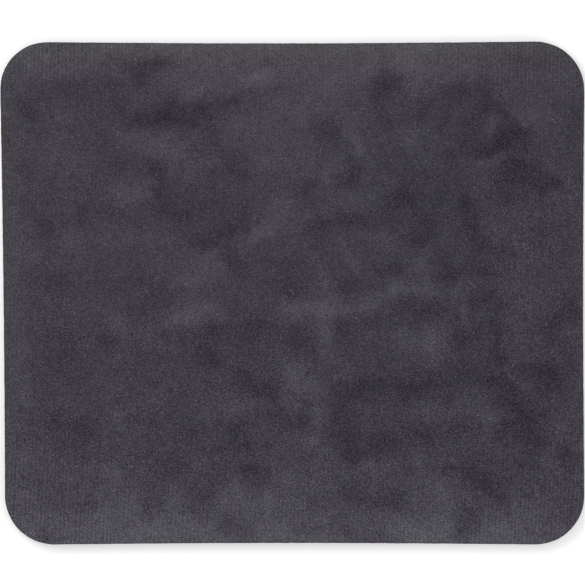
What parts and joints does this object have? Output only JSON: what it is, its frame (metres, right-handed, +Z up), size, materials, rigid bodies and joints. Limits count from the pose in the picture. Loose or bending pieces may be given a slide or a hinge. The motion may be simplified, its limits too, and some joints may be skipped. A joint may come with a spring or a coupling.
{
  "type": "mouse pad",
  "caption": "Flat soft mouse pad with rounded corners: napped knit cloth bonded to a sheet of black sponge rubber with a patterned grip underside.",
  "frame": {"origin": "middle of the pad's underside, on the surface that it lies on", "axes": "+X to the user's right along the longer side, +Y away from the user, +Z up out of the cloth"},
  "size_m": [0.235, 0.2024, 0.005],
  "materials": {
    "napped_cloth": "dark purple-grey napped knit, matte, with pressed and brushed patches",
    "adhesive": "thin hot-melt film, satin, seen only as a line at the cut edge",
    "sponge_rubber": "black sponge rubber, matte, fine cells at the cut edge, moulded grip pattern below"
  },
  "bodies": {
    "root": {"foam_base": "sponge_rubber", "adhesive_film": "adhesive", "pile_cloth": "napped_cloth"}
  },
  "joints": []
}
